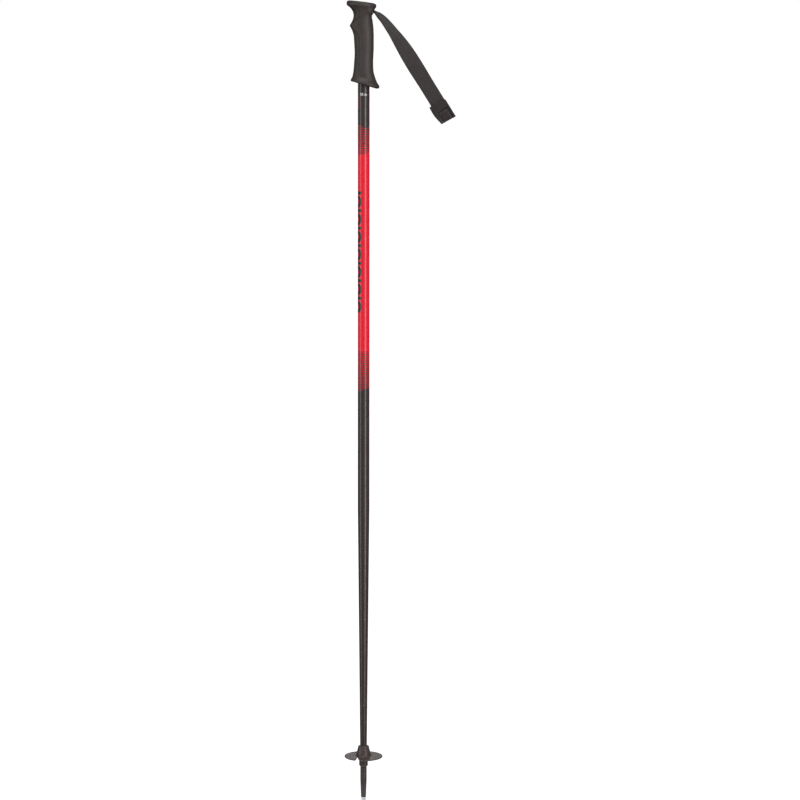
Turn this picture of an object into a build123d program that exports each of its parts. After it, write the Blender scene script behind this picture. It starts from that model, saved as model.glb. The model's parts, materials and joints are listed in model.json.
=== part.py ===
"""Alpine ski pole, 125 cm: painted aluminium shaft, moulded grip, wrist strap with a clamping slider,
and a ferrule that carries the snow basket and the steel tip.

The origin is on the shaft axis at the very end of the tip. +Z runs up the shaft, and +X points to the
back of the grip, the side that the strap leaves from. Millimetres.
"""

import os
from math import cos, degrees, radians, sin

from build123d import *

os.makedirs("parts", exist_ok=True)

# Whole pole
POLE_LENGTH = 1250.0
FIT_GAP = 0.05  # radial clearance of a running fit
SOFT_GAP = 0.35  # clearance between webbing and what it slides through

# Shaft
SHAFT_R = 9.0
SHAFT_WALL = 1.1
SHAFT_TAPER_TOP_Z = 463.0
SHAFT_END_Z = 64.0
SHAFT_END_R = 5.02
SHAFT_TOP_Z = 1212.0

# Grip: stations of height, reach to the finger side (-X), reach to the back (+X) and half width
GRIP_STATIONS = [
    (1252.0, 26.8, 20.0, 18.8),
    (1242.0, 23.2, 18.8, 17.8),
    (1237.0, 18.8, 16.0, 15.9),
    (1232.0, 16.2, 14.0, 14.4),
    (1226.0, 15.5, 12.6, 13.6),
    (1218.0, 17.6, 13.4, 13.6),
    (1211.5, 21.2, 14.2, 13.9),
    (1204.5, 17.6, 14.9, 13.8),
    (1198.0, 15.4, 15.3, 13.6),
    (1185.0, 13.9, 15.5, 13.2),
    (1171.0, 13.4, 14.8, 13.1),
    (1157.0, 14.0, 14.0, 13.2),
    (1145.0, 14.9, 14.4, 13.6),
    (1136.0, 16.3, 16.4, 14.6),
    (1128.0, 20.0, 19.8, 16.4),
    (1119.0, 22.4, 23.9, 17.8),
    (1108.0, 23.2, 24.4, 18.0),
]
HEAD_SLOPE = 6.8  # degrees, the head's top falls towards the back
HEAD_FRONT_Z = 1250.2  # height of the head's top plane at its finger-side end
HEAD_FRONT_X = -26.0
HEAD_EDGE_R = 1.6
FOOT_SLOPE = 16.5  # degrees, the foot's underside falls towards the back
FOOT_FRONT_Z = 1127.7  # height of the underside at its finger-side end
FOOT_FRONT_X = -20.0
SOCKET_TOP_Z = 1214.0

# Strap boss at the back of the head, its pocket and the cross pin in it
# Boss: stations of height, reach to the back and half width
BOSS_STATIONS = [(1225.0, 12.2, 12.2), (1229.6, 14.8, 14.6), (1231.6, 16.0, 15.4), (1241.0, 16.4, 16.0)]
BOSS_FRONT_X = -4.0
BOSS_EDGE_R = 3.0
MOUTH_X = 15.2  # back end of the webbing inside the slot
ANCHOR_X, ANCHOR_Z = 5.5, 1234.4
ANCHOR_R = 2.0
ANCHOR_LENGTH = 27.4
POCKET_WIDTH = 24.2
POCKET_X = (1.2, 10.0)
SLOT_CORNER_R = 1.0
CAP_THICKNESS = 2.0
CAP_RIM = 2.6  # how far the cap's edge stays inside the head's
CAP_GAP = 0.1  # round the cap and its plug
CAP_PLUG_END_Z = 1240.0

# Strap
WEBBING_WIDTH = 23.0
WEBBING_T = 1.4  # one layer
STRAP_T = 2 * WEBBING_T + 0.2  # two layers lying together
HINGE_X, HINGE_Z = 17.2, 1232.8  # where the strap bends as it leaves the slot
STRAP_START = 0.6  # the strap begins this far from the hinge, so that it turns clear of the slot
STRAP_START_DIP = 36.0  # degrees below horizontal at the slot
STRAP_BENDS = [(90.0, 52.0), (500.0, 58.0)]  # radius of each bend, and the strap's dip at its end
STRAP_TWIST_LENGTH = 118.0  # length over which the strap makes its quarter turn
TWIST_EASE = 0.75  # below 1 the turn is quicker at first
TWIST_STEPS = 9
STRAP_LENGTH = 198.6  # from the slot to its end inside the slider

# Slider on the end of the strap
SLIDER_LENGTH = 31.8
SLIDER_END_WIDTH = 26.4
SLIDER_BOW = 2.4  # how far the lower side bulges out
SLIDER_FLOOR_T = 1.7  # wall behind the webbing
SLIDER_BRIDGE_T = 3.0  # wall in front of the webbing
SLIDER_CORNER_R = 1.4
SLIDER_EDGE_R = 0.9
SLIDER_PAST_STRAP = 1.0  # the slider ends this far past the webbing
WINDOW_LENGTH = 17.6  # from the slider's far end to the top of the lever's window
LEVER_WIDTH = 15.4
LEVER_GAP = 0.4  # to the window's sides
LEVER_BARREL_R = 1.7
LEVER_PIN_R = 1.0
LEVER_PIN_LENGTH = 23.0
LEVER_PIN_INSET = 2.4  # pin's axis below the top of the window
LEVER_PIN_HEIGHT = 3.5  # pin's axis above the middle of the webbing
LEVER_TOP = 5.1  # front of the lever above the middle of the webbing
LEVER_UNDERSIDE = 2.0
LEVER_THUMB_R = 1.0

# Ferrule, basket and tip
FERRULE_TOP_Z = 87.8
FERRULE_R = 5.95
FERRULE_SHOULDER_Z = 60.0
SHANK_R = 5.0
SHANK_NECK_R = 4.4  # groove under the basket's collar
SHANK_NECK_Z = 53.0
SHANK_TAPER_Z = 33.5
SHANK_END_R = 4.0
SHANK_END_Z = 5.0
BASKET_R = 29.8
BASKET_HUB_TOP_Z = 87.4
BASKET_HUB_TOP_R = 8.1
BASKET_HUB_FOOT_R = 10.8
BASKET_HUB_FOOT_Z = 77.0
DISC_TOP_Z = 71.0
DISC_BOTTOM_Z = 69.3
DISC_LIP_H = 0.4
DISC_LIP_W = 1.8
COLLAR_R = 6.75
COLLAR_END_Z = 57.6
COLLAR_CHAMFER_Z = 54.6
SLIT_X = (-10.6, -8.4)  # the slit's two sides, next to the hub
SLIT_START_Y = -7.5
SLIT_FLARE_Y = -14.0  # from here out to the rim the slit widens
SLIT_FLARE = 3.5  # how far each side has moved out, level with the rim
HOLE_R = 1.2
HOLE_PITCH_R = 21.7
DIMPLE_R = 1.2
DIMPLE_Z = 61.0
TIP_R = 3.5
TIP_SHANK_R = 2.5
TIP_SHANK_END_Z = 21.0
TIP_CUP_R = 2.7
TIP_CUP_DEPTH = 1.5


def shaft_radius(z):
    """Outer radius of the shaft at a height, cylindrical above and conical below."""
    if z >= SHAFT_TAPER_TOP_Z:
        return SHAFT_R
    share = (z - SHAFT_END_Z) / (SHAFT_TAPER_TOP_Z - SHAFT_END_Z)
    return SHAFT_END_R + share * (SHAFT_R - SHAFT_END_R)


def strap_point(along):
    """Centre of the strap at a length from the slot: two gentle bends, then a straight run.

    Returns X, Z and the angle below horizontal in degrees.
    """
    x, z, dip = HINGE_X, HINGE_Z, radians(STRAP_START_DIP)
    left = along
    for bend_r, end_dip in STRAP_BENDS:
        turned = min(left / bend_r, radians(end_dip) - dip)
        x += bend_r * (sin(dip + turned) - sin(dip))
        z += bend_r * (cos(dip + turned) - cos(dip))
        dip += turned
        left -= bend_r * turned
    return x + left * cos(dip), z - left * sin(dip), degrees(dip)


def strap_plane(along):
    """Section plane of the strap: its X axis across the webbing, its Z axis along the strap.

    The webbing lies across the pole at the slot and makes a quarter turn, quicker at first.
    """
    x, z, dip = strap_point(along)
    down = radians(dip)
    turn = radians(90 * min(along / STRAP_TWIST_LENGTH, 1) ** TWIST_EASE)
    run = Vector(cos(down), 0, -sin(down))
    over = Vector(sin(down), 0, cos(down))
    across = Vector(0, 1, 0) * cos(turn) + over * sin(turn)
    return Plane(origin=(x, 0, z), x_dir=across, z_dir=run)


# Shaft: one drawn tube, open at both ends
with BuildPart() as shaft_tube:
    with BuildSketch(Plane.XZ):
        with BuildLine():
            Polyline(
                (SHAFT_END_R - SHAFT_WALL, SHAFT_END_Z),
                (SHAFT_END_R, SHAFT_END_Z),
                (SHAFT_R, SHAFT_TAPER_TOP_Z),
                (SHAFT_R, SHAFT_TOP_Z),
                (SHAFT_R - SHAFT_WALL, SHAFT_TOP_Z),
                (SHAFT_R - SHAFT_WALL, SHAFT_TAPER_TOP_Z),
                close=True,
            )
        make_face()
    revolve(axis=Axis.Z)
shaft_tube.part.label = "shaft_tube"
export_step(shaft_tube.part, "parts/shaft_tube.step")

# Grip: lofted through oval stations, then cut to its sloping head and foot
head_plane = Plane(
    origin=(HEAD_FRONT_X, 0, HEAD_FRONT_Z),
    z_dir=(sin(radians(HEAD_SLOPE)), 0, cos(radians(HEAD_SLOPE))),
    x_dir=(cos(radians(HEAD_SLOPE)), 0, -sin(radians(HEAD_SLOPE))),
)
foot_plane = Plane(
    origin=(FOOT_FRONT_X, 0, FOOT_FRONT_Z),
    z_dir=(sin(radians(FOOT_SLOPE)), 0, cos(radians(FOOT_SLOPE))),
    x_dir=(cos(radians(FOOT_SLOPE)), 0, -sin(radians(FOOT_SLOPE))),
)
head_mid_x = (GRIP_STATIONS[0][2] - GRIP_STATIONS[0][1]) / 2
cap_origin = head_plane.from_local_coords(((head_mid_x - HEAD_FRONT_X) / cos(radians(HEAD_SLOPE)), 0, 0))
cap_plane = Plane(origin=cap_origin, x_dir=head_plane.x_dir, z_dir=head_plane.z_dir)
cap_rx = (GRIP_STATIONS[0][1] + GRIP_STATIONS[0][2]) / 2 - CAP_RIM
cap_ry = GRIP_STATIONS[0][3] - CAP_RIM

with BuildPart() as grip_body:
    for height, front, back, half_width in GRIP_STATIONS:
        with BuildSketch(Plane((0, 0, height))):
            with Locations(((back - front) / 2, 0)):
                Ellipse((back + front) / 2, half_width)
    loft(ruled=True)
    split(bisect_by=head_plane, keep=Keep.BOTTOM)
    split(bisect_by=foot_plane, keep=Keep.TOP)
    rim = grip_body.edges().group_by(Axis.Z)[-1]
    fillet(rim, HEAD_EDGE_R)
    # the squared boss that the strap leaves from
    for height, back, half_width in BOSS_STATIONS:
        with BuildSketch(Plane((0, 0, height))):
            with Locations(((back + BOSS_FRONT_X) / 2, 0)):
                RectangleRounded(back - BOSS_FRONT_X, 2 * half_width, BOSS_EDGE_R)
    loft(ruled=True)
    # the shaft's socket, blind
    foot_z = GRIP_STATIONS[-1][0]
    with Locations((0, 0, foot_z)):
        Cylinder(
            SHAFT_R,
            SOCKET_TOP_Z - foot_z,
            align=(Align.CENTER, Align.CENTER, Align.MIN),
            mode=Mode.SUBTRACT,
        )
    # the cap's seat in the top
    with BuildSketch(cap_plane):
        Ellipse(cap_rx, cap_ry)
    extrude(amount=-CAP_THICKNESS, mode=Mode.SUBTRACT)
    # the strap's pocket, open to the top, and the slot out of the back
    pocket_bottom = ANCHOR_Z - ANCHOR_R - WEBBING_T - SOFT_GAP
    pocket_mid_x = (POCKET_X[0] + POCKET_X[1]) / 2
    with BuildSketch(Plane((0, 0, pocket_bottom))):
        with Locations((pocket_mid_x, 0)):
            Rectangle(POCKET_X[1] - POCKET_X[0], POCKET_WIDTH)
    extrude(amount=POLE_LENGTH - pocket_bottom, mode=Mode.SUBTRACT)
    with BuildSketch(Plane((0, 0, ANCHOR_Z - ANCHOR_R))):
        with Locations((ANCHOR_X, 0)):
            Rectangle(2 * ANCHOR_R, ANCHOR_LENGTH)
    extrude(amount=POLE_LENGTH - ANCHOR_Z, mode=Mode.SUBTRACT)
    with BuildSketch(Plane.YZ.offset(pocket_mid_x)):
        with Locations((0, HINGE_Z)):
            RectangleRounded(POCKET_WIDTH, STRAP_T + 2 * SOFT_GAP, SLOT_CORNER_R)
    extrude(amount=MOUTH_X, mode=Mode.SUBTRACT)
grip_body.part.label = "grip_body"
export_step(grip_body.part, "parts/grip_body.step")

# Cap: a plate let into the head, with a plug that shuts the pocket over the strap's loop
with BuildPart() as grip_top_cap:
    with BuildSketch(cap_plane):
        Ellipse(cap_rx - CAP_GAP, cap_ry - CAP_GAP)
    extrude(amount=-CAP_THICKNESS)
    with BuildSketch(Plane((0, 0, CAP_PLUG_END_Z))):
        with Locations((pocket_mid_x, 0)):
            Rectangle(POCKET_X[1] - POCKET_X[0] - 2 * CAP_GAP, POCKET_WIDTH - 2 * CAP_GAP)
    extrude(until=Until.NEXT)
grip_top_cap.part.label = "grip_top_cap"
export_step(grip_top_cap.part, "parts/grip_top_cap.step")

# Cross pin in the head
with BuildPart() as strap_anchor_pin:
    with BuildSketch(Plane.XZ.offset(-ANCHOR_LENGTH / 2)):
        with Locations((ANCHOR_X, ANCHOR_Z)):
            Circle(ANCHOR_R)
    extrude(amount=ANCHOR_LENGTH)
strap_anchor_pin.part.label = "strap_anchor_pin"
export_step(strap_anchor_pin.part, "parts/strap_anchor_pin.step")

# Loop of webbing round the pin, up to the mouth of the slot
with BuildPart() as strap_root_loop:
    half_t = STRAP_T / 2
    loop_r = ANCHOR_R + WEBBING_T
    with BuildSketch(Plane.XZ.offset(-WEBBING_WIDTH / 2)):
        with BuildLine():
            Polyline(
                (ANCHOR_X, ANCHOR_Z + loop_r),
                (POCKET_X[1], HINGE_Z + half_t),
                (MOUTH_X, HINGE_Z + half_t),
                (MOUTH_X, HINGE_Z - half_t),
                (POCKET_X[1], HINGE_Z - half_t),
                (ANCHOR_X, ANCHOR_Z - loop_r),
                close=True,
            )
        make_face()
        with Locations((ANCHOR_X, ANCHOR_Z)):
            Circle(loop_r)
            Circle(ANCHOR_R, mode=Mode.SUBTRACT)
    extrude(amount=WEBBING_WIDTH)
strap_root_loop.part.label = "strap_root_loop"
export_step(strap_root_loop.part, "parts/strap_root_loop.step")

# Strap: two layers of webbing lying together, from the slot to the slider
with BuildPart() as strap_webbing:
    for along in [STRAP_START] + [STRAP_TWIST_LENGTH * k / TWIST_STEPS for k in range(1, TWIST_STEPS + 1)]:
        with BuildSketch(strap_plane(along)):
            Rectangle(WEBBING_WIDTH, STRAP_T)
    with BuildSketch(strap_plane(STRAP_LENGTH)):
        Rectangle(WEBBING_WIDTH, STRAP_T)
    loft(ruled=True)
strap_webbing.part.label = "strap_webbing"
export_step(strap_webbing.part, "parts/strap_webbing.step")

# Slider's plane: origin at the middle of its far end, X across the strap, Y back along it, Z to its front
far_x, far_z, far_dip = strap_point(STRAP_LENGTH + SLIDER_PAST_STRAP)
slider_plane = Plane(
    origin=(far_x, 0, far_z),
    x_dir=(sin(radians(far_dip)), 0, cos(radians(far_dip))),
    z_dir=(0, -1, 0),
)
channel_half_t = STRAP_T / 2 + SOFT_GAP
half_end = SLIDER_END_WIDTH / 2

# Slider frame: a sleeve round the webbing with a window for the lever, one side straight and one bowed
with BuildPart() as slider_frame:
    with BuildSketch(slider_plane.offset(-channel_half_t - SLIDER_FLOOR_T)) as outline:
        with BuildLine():
            Polyline(
                (-half_end, SLIDER_LENGTH),
                (half_end, SLIDER_LENGTH),
                (half_end, 0),
                (-half_end, 0),
            )
            ThreePointArc(
                (-half_end, 0),
                (-half_end - SLIDER_BOW, SLIDER_LENGTH / 2),
                (-half_end, SLIDER_LENGTH),
            )
        make_face()
        fillet(outline.vertices(), SLIDER_CORNER_R)
    extrude(amount=SLIDER_FLOOR_T + 2 * channel_half_t + SLIDER_BRIDGE_T)
    broad_faces = slider_frame.faces().sort_by(Axis.Y)
    fillet(broad_faces[0].edges() + broad_faces[-1].edges(), SLIDER_EDGE_R)
    with BuildSketch(slider_plane.offset(-channel_half_t)):
        with Locations((0, SLIDER_LENGTH / 2)):
            Rectangle(WEBBING_WIDTH + 2 * SOFT_GAP, SLIDER_LENGTH)
    extrude(amount=2 * channel_half_t, mode=Mode.SUBTRACT)
    with BuildSketch(slider_plane.offset(channel_half_t)):
        with Locations((0, WINDOW_LENGTH / 2)):
            Rectangle(LEVER_WIDTH + 2 * LEVER_GAP, WINDOW_LENGTH)
    extrude(amount=SLIDER_BRIDGE_T, mode=Mode.SUBTRACT)
    lever_axis = Plane(
        origin=slider_plane.from_local_coords((0, WINDOW_LENGTH - LEVER_PIN_INSET, LEVER_PIN_HEIGHT)),
        x_dir=slider_plane.y_dir,
        z_dir=slider_plane.x_dir,
    )
    # the pin's hole, blind in the bowed side and open on the straight one
    with BuildSketch(lever_axis.offset(-LEVER_PIN_LENGTH / 2)):
        Circle(LEVER_PIN_R)
    extrude(amount=SLIDER_END_WIDTH, mode=Mode.SUBTRACT)
slider_frame.part.label = "slider_frame"
export_step(slider_frame.part, "parts/slider_frame.step")

# Lever's pin, pressed into the slider's two rails
with BuildPart() as lever_pin:
    with BuildSketch(lever_axis.offset(-LEVER_PIN_LENGTH / 2)):
        Circle(LEVER_PIN_R)
    extrude(amount=LEVER_PIN_LENGTH)
lever_pin.part.label = "lever_pin"
export_step(lever_pin.part, "parts/lever_pin.step")

# Lever: a panel with a barrel on the pin; its free end lies flush with the slider's far end.
# In the lever's own plane X runs back along the strap and Y to its back.
with BuildPart() as slider_lever:
    reach = WINDOW_LENGTH - LEVER_PIN_INSET
    top = LEVER_PIN_HEIGHT - LEVER_TOP
    under = LEVER_PIN_HEIGHT - LEVER_UNDERSIDE
    with BuildSketch(lever_axis.offset(-LEVER_WIDTH / 2)) as profile:
        with BuildLine():
            Polyline((0, top), (0, under), (-reach, under), (-reach, top), close=True)
        make_face()
        fillet(profile.vertices().group_by(Axis.Z)[0], LEVER_THUMB_R)
        Circle(LEVER_BARREL_R)
        Circle(LEVER_PIN_R + FIT_GAP, mode=Mode.SUBTRACT)
    extrude(amount=LEVER_WIDTH)
slider_lever.part.label = "slider_lever"
export_step(slider_lever.part, "parts/slider_lever.step")

# Ferrule: socket over the shaft's end, a shoulder for the basket, and a tapered shank
with BuildPart() as ferrule:
    with BuildSketch(Plane.XZ):
        with BuildLine():
            Polyline(
                (0, TIP_SHANK_END_Z),
                (TIP_SHANK_R, TIP_SHANK_END_Z),
                (TIP_SHANK_R, SHANK_END_Z),
                (SHANK_END_R, SHANK_END_Z),
                (SHANK_R, SHANK_TAPER_Z),
                (SHANK_R, SHANK_NECK_Z),
                (SHANK_NECK_R, SHANK_NECK_Z),
                (SHANK_NECK_R, FERRULE_SHOULDER_Z),
                (FERRULE_R, FERRULE_SHOULDER_Z),
                (FERRULE_R, FERRULE_TOP_Z),
                (shaft_radius(FERRULE_TOP_Z), FERRULE_TOP_Z),
                (SHAFT_END_R, SHAFT_END_Z),
                (0, SHAFT_END_Z),
                close=True,
            )
        make_face()
    revolve(axis=Axis.Z)
ferrule.part.label = "ferrule"
export_step(ferrule.part, "parts/ferrule.step")

# Basket: disc with one slit and two holes, conical hub above and collar below
with BuildPart() as basket:
    with BuildSketch(Plane.XZ):
        with BuildLine():
            Polyline(
                (COLLAR_R, DISC_BOTTOM_Z),
                (BASKET_R, DISC_BOTTOM_Z),
                (BASKET_R, DISC_TOP_Z + DISC_LIP_H),
                (BASKET_R - DISC_LIP_W, DISC_TOP_Z + DISC_LIP_H),
                (BASKET_R - DISC_LIP_W, DISC_TOP_Z),
                (COLLAR_R, DISC_TOP_Z),
                close=True,
            )
        make_face()
    revolve(axis=Axis.Z)
    with BuildSketch(Plane((0, 0, DISC_BOTTOM_Z))):
        with BuildLine():
            Polyline(
                (SLIT_X[0], SLIT_START_Y),
                (SLIT_X[0], SLIT_FLARE_Y),
                (SLIT_X[0] - SLIT_FLARE, -BASKET_R),
                (SLIT_X[1] + SLIT_FLARE, -BASKET_R),
                (SLIT_X[1], SLIT_FLARE_Y),
                (SLIT_X[1], SLIT_START_Y),
                close=True,
            )
        make_face()
        with Locations((-HOLE_PITCH_R, 0), (HOLE_PITCH_R, 0)):
            Circle(HOLE_R)
    extrude(amount=DISC_TOP_Z + DISC_LIP_H - DISC_BOTTOM_Z, mode=Mode.SUBTRACT)
    with BuildSketch(Plane.XZ):
        with BuildLine():
            Polyline(
                (SHANK_R + FIT_GAP, COLLAR_CHAMFER_Z),
                (COLLAR_R, COLLAR_END_Z),
                (COLLAR_R, DISC_BOTTOM_Z),
                (BASKET_HUB_FOOT_R, DISC_TOP_Z),
                (BASKET_HUB_FOOT_R, BASKET_HUB_FOOT_Z),
                (BASKET_HUB_TOP_R, BASKET_HUB_TOP_Z),
                (FERRULE_R + FIT_GAP, BASKET_HUB_TOP_Z),
                (FERRULE_R + FIT_GAP, FERRULE_SHOULDER_Z - FIT_GAP),
                (SHANK_R + FIT_GAP, FERRULE_SHOULDER_Z - FIT_GAP),
                close=True,
            )
        make_face()
    revolve(axis=Axis.Z)
    with BuildSketch(Plane.XZ):
        with Locations((0, DIMPLE_Z)):
            Circle(DIMPLE_R)
    extrude(amount=COLLAR_R, mode=Mode.SUBTRACT)
basket.part.label = "basket"
export_step(basket.part, "parts/basket.step")

# Steel tip: a cupped end and a shank pressed into the ferrule
with BuildPart() as steel_tip:
    with BuildSketch(Plane.XZ):
        with BuildLine():
            Polyline(
                (0, TIP_CUP_DEPTH),
                (TIP_CUP_R, 0),
                (TIP_R, 0),
                (TIP_R, SHANK_END_Z),
                (TIP_SHANK_R, SHANK_END_Z),
                (TIP_SHANK_R, TIP_SHANK_END_Z),
                (0, TIP_SHANK_END_Z),
                close=True,
            )
        make_face()
    revolve(axis=Axis.Z)
steel_tip.part.label = "steel_tip"
export_step(steel_tip.part, "parts/steel_tip.step")
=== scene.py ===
"""Looks of an alpine ski pole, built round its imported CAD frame.

The origin is at the end of the steel tip, +Z runs up the shaft and +X points to the back of the grip.
Sizes are named in millimetres, as in the CAD, and every mesh is made in metres.
"""

import json
from math import atan, cos, exp, pi, radians, sin, tan

import bmesh
import bpy
import numpy as np
from mathutils import Matrix, Vector

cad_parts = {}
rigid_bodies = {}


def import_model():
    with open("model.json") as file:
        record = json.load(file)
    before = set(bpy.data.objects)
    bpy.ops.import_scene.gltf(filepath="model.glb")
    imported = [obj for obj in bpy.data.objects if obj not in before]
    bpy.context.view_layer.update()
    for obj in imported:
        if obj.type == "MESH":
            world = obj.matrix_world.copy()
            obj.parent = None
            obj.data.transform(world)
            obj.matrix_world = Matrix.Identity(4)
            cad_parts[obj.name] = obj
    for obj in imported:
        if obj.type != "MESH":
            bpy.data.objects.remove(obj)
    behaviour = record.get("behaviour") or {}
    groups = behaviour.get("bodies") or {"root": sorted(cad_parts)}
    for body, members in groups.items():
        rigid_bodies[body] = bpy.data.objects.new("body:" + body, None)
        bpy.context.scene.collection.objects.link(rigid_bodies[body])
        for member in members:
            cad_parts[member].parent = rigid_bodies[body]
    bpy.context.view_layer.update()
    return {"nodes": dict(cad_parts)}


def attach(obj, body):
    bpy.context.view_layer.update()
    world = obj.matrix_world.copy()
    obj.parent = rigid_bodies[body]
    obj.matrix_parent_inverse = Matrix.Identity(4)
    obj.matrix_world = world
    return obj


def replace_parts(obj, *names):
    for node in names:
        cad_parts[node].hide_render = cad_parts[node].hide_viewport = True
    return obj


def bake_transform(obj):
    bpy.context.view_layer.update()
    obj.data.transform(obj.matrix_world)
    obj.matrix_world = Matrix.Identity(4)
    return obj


for leftover in list(bpy.data.objects):
    bpy.data.objects.remove(leftover)
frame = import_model()

MM = 0.001

# Shaft, as in the CAD
SHAFT_R = 9.0
SHAFT_WALL = 1.1
SHAFT_TAPER_TOP_Z = 463.0
SHAFT_END_Z = 64.0
SHAFT_END_R = 5.02
SHAFT_TOP_Z = 1212.0

# Strap, as in the CAD: two gentle bends, then a straight run, with a quarter turn along it
WEBBING_WIDTH = 23.0
WEBBING_T = 1.3
HINGE_X, HINGE_Z = 17.2, 1232.8
STRAP_START_DIP = 36.0
STRAP_BENDS = [(90.0, 52.0), (500.0, 58.0)]
STRAP_TWIST_LENGTH = 118.0
TWIST_EASE = 0.75
STRAP_LENGTH = 198.6
ANCHOR_X, ANCHOR_Z, ANCHOR_R = 5.5, 1234.4, 2.0
SLIDER_PAST_STRAP = 1.0

# How the soft strap lies, which the CAD leaves out
EARLY_TWIST, EARLY_TWIST_FADE = 12.0, 16.0  # degrees that it turns early, and how fast that fades
EARLY_TWIST_RISE = 5.0
LAYER_GAP = 0.16
LAYER_SLIP = (1.5, 1.2)  # how far the front and the back layer wander sideways, midway
SLIP_LENGTH = 144.0  # from here on the layers lie true, so that the slider can run up the strap
STRAP_STEPS = 110
LOOP_GAP = 0.05  # between the pin and the webbing round it
LOOP_START, LOOP_TURN, LOOP_STEPS = 72.0, 216.0, 16  # degrees round the pin
BEND_START, BEND_LENGTH = 2.0, 7.0  # a stretch of the strap, from just inside the slot to this far out; nothing in this script bends the strap there

# Slider's thickness, channel and lever, as in the CAD
SLIDER_BACK, SLIDER_FRONT = -3.55, 4.85
CHANNEL_HALF_T = 1.85
CHANNEL_SIDE_GAP = 0.35
WINDOW_LENGTH = 17.6
LEVER_WIDTH = 15.4
LEVER_GAP = 0.4
LEVER_PIN_Y, LEVER_PIN_Z = 15.2, 3.5
LEVER_BARREL_R = 1.7
LEVER_TOP, LEVER_UNDERSIDE = 5.1, 2.0
PIN_HOLE_R, PIN_BORE_R = 1.02, 1.05  # in the slider and in the lever
PAD_WIDTH, PAD_LENGTH, PAD_CORNER = 12.6, 12.4, 2.2  # the raised panel on the lever
PAD_MIDDLE_Y, PAD_RISE = 7.2, 0.35

# Slider's outline, which follows the photo more closely than the CAD's
SLIDER_LENGTH = 31.8
SLIDER_STRAIGHT_X = 12.7
SLIDER_FAR_X, SLIDER_NEAR_X = -12.4, -14.9  # the bowed side, at the far end and at the strap's end
SLIDER_BOW = 1.6
SLIDER_FAR_SLANT, SLIDER_NEAR_SLANT = 1.3, 2.0
SLIDER_FAR_CORNER, SLIDER_NEAR_CORNER = 1.2, 0.9
SLIDER_BOW_STEPS = 24
SLIDER_EDGE, SLIDER_CUT_EDGE = 1.1, 0.22  # rounding of the plate, and of what is cut into it

# Grip, ferrule and tip, as in the CAD
SOCKET_TOP_Z = 1214.0
SOCKET_GAP = 0.03
POCKET_X = (1.2, 10.0)
POCKET_HALF_WIDTH, POCKET_FLOOR_Z = 12.1, 1230.65
MOUTH_HEIGHT, MOUTH_WIDTH, MOUTH_CORNER = 3.5, 24.0, 1.2
SHANK_R, SHANK_NECK_R, SHANK_END_R = 5.0, 4.4, 4.0
SHANK_TAPER_TOP_Z, SHANK_NECK_Z = 33.5, 53.0
FERRULE_R, FERRULE_MOUTH_R, FERRULE_BORE_R = 5.95, 5.27, 5.03
FERRULE_SHOULDER_Z, FERRULE_TOP_Z = 60.0, 87.8
TIP_R, TIP_LENGTH = 3.5, 5.0
TIP_STEM_R, TIP_STEM_TOP_Z = 2.5, 21.0


# ---------------------------------------------------------------- mesh helpers

SHARP_ANGLE = 35
WELD_DISTANCE = 1e-7


def add_object(name, mesh, sharp=SHARP_ANGLE):
    """Links a mesh as an object, shaded smooth except at edges sharper than that many degrees."""
    mesh.shade_smooth()
    mesh.set_sharp_from_angle(angle=radians(sharp))
    obj = bpy.data.objects.new(name, mesh)
    bpy.context.scene.collection.objects.link(obj)
    return obj


def build(name, points, faces, sharp=SHARP_ANGLE):
    """A mesh object from points in millimetres and faces of indices."""
    mesh = bpy.data.meshes.new(name)
    mesh.from_pydata([Vector(p) * MM for p in points], [], faces)
    mesh.validate()
    return add_object(name, mesh, sharp)


def skin(rings):
    """Points and faces of a closed tube over rings with equal numbers of points."""
    count = len(rings[0])
    points = [p for ring in rings for p in ring]
    faces = []
    for row in range(len(rings) - 1):
        for k in range(count):
            a = row * count + k
            b = row * count + (k + 1) % count
            faces.append((a, b, b + count, a + count))
    last = (len(rings) - 1) * count
    faces.append(tuple(range(count - 1, -1, -1)))
    faces.append(tuple(range(last, last + count)))
    return points, faces


def rounded(corners, steps=5):
    """An outline from (a, b, corner radius) points, with an arc at each corner that has a radius."""
    outline = []
    for k, (a, b, radius) in enumerate(corners):
        here = Vector((a, b))
        before = Vector(corners[k - 1][:2]) - here
        after = Vector(corners[(k + 1) % len(corners)][:2]) - here
        if radius == 0:
            outline.append(tuple(here))
            continue
        half = before.angle(after) / 2
        reach = min(radius / tan(half), 0.49 * before.length, 0.49 * after.length)
        start = here + before.normalized() * reach
        end = here + after.normalized() * reach
        for step in range(steps + 1):
            t = step / steps
            outline.append(tuple(start * (1 - t) ** 2 + here * 2 * t * (1 - t) + end * t**2))
    return outline


def lathe(name, outline, segments):
    """Turns a closed outline of (radius, height) round the pole's axis."""
    rings = []
    for k in range(segments):
        angle = 2 * pi * k / segments
        rings.append([(r * cos(angle), r * sin(angle), z) for r, z in outline])
    count = len(outline)
    points = [p for ring in rings for p in ring]
    faces = []
    for k in range(segments):
        for j in range(count):
            a = k * count + j
            b = k * count + (j + 1) % count
            c = ((k + 1) % segments) * count
            faces.append((a, c + j, c + (j + 1) % count, b))
    obj = build(name, points, faces)
    weld(obj)
    obj.data.set_sharp_from_angle(angle=radians(SHARP_ANGLE))
    return obj


def weld(obj):
    """Joins points that lie together, and turns every face outwards."""
    made = bmesh.new()
    made.from_mesh(obj.data)
    bmesh.ops.remove_doubles(made, verts=made.verts, dist=WELD_DISTANCE)
    bmesh.ops.dissolve_degenerate(made, edges=made.edges, dist=WELD_DISTANCE / 10)
    bmesh.ops.recalc_face_normals(made, faces=made.faces)
    made.to_mesh(obj.data)
    made.free()


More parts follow.
